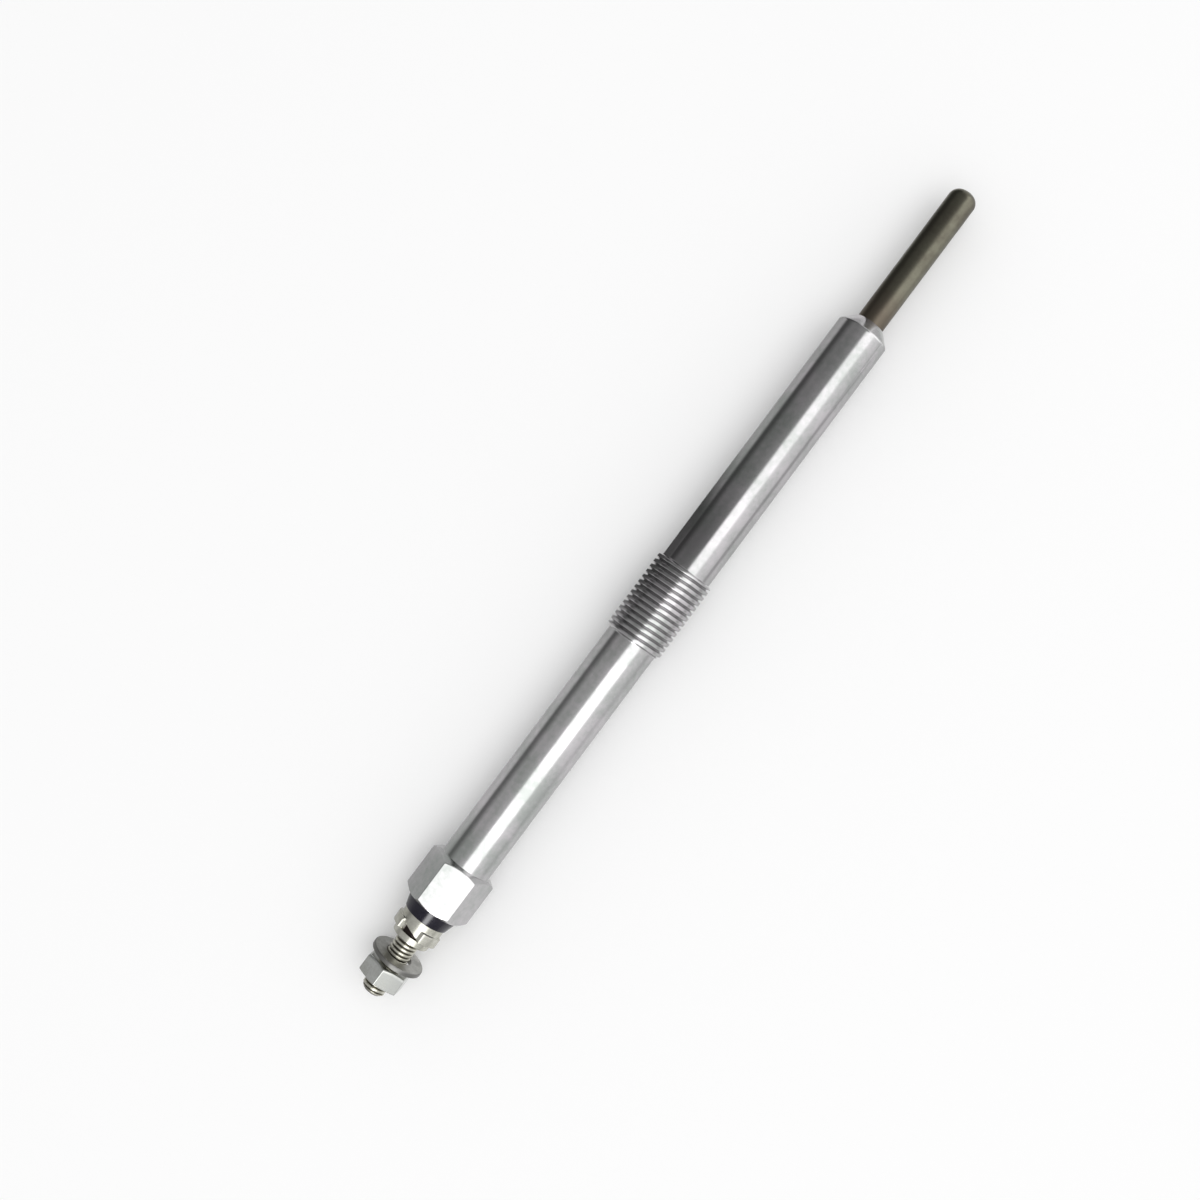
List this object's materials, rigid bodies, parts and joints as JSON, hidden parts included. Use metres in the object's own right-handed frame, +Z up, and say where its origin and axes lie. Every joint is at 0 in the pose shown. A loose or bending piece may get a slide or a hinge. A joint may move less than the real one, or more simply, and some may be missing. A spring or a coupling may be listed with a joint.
{
  "type": "diesel glow plug",
  "caption": "Long diesel glow plug with a hexagon, a threaded steel body, a slim dark heating rod and a threaded terminal with a nut and a loose washer.",
  "frame": {"origin": "middle of the part's length, under the plug's axis, on the floor it lies on", "axes": "+X along the plug's axis towards the heated tip, +Z up, the hexagon's lower flat and the thread rest on z = 0"},
  "size_m": [0.155, 0.0116, 0.01],
  "materials": {
    "zinc_plated_steel": "bright zinc plate, turned",
    "sheath_alloy": "satin, darkened by heat",
    "magnesia": "packed powder",
    "resistance_wire": "drawn wire",
    "nickel_wire": "drawn wire",
    "seal_rubber": "moulded",
    "rod_steel": "nickel plate, rolled thread",
    "black_insulator": "gloss moulded",
    "nickel_plated_steel": "warm nickel plate",
    "washer_steel": "punched, satin",
    "nut_steel": "zinc plate, satin"
  },
  "bodies": {
    "root": {"housing": "zinc_plated_steel", "heater_sheath": "sheath_alloy", "magnesia_fill": "magnesia", "heating_coil": "resistance_wire", "control_coil": "nickel_wire", "sheath_seal": "seal_rubber", "centre_rod": "rod_steel", "o_ring": "seal_rubber", "insulating_bush": "black_insulator", "round_nut": "nickel_plated_steel", "flat_washer": "washer_steel", "terminal_nut": "nut_steel"}
  },
  "joints": []
}
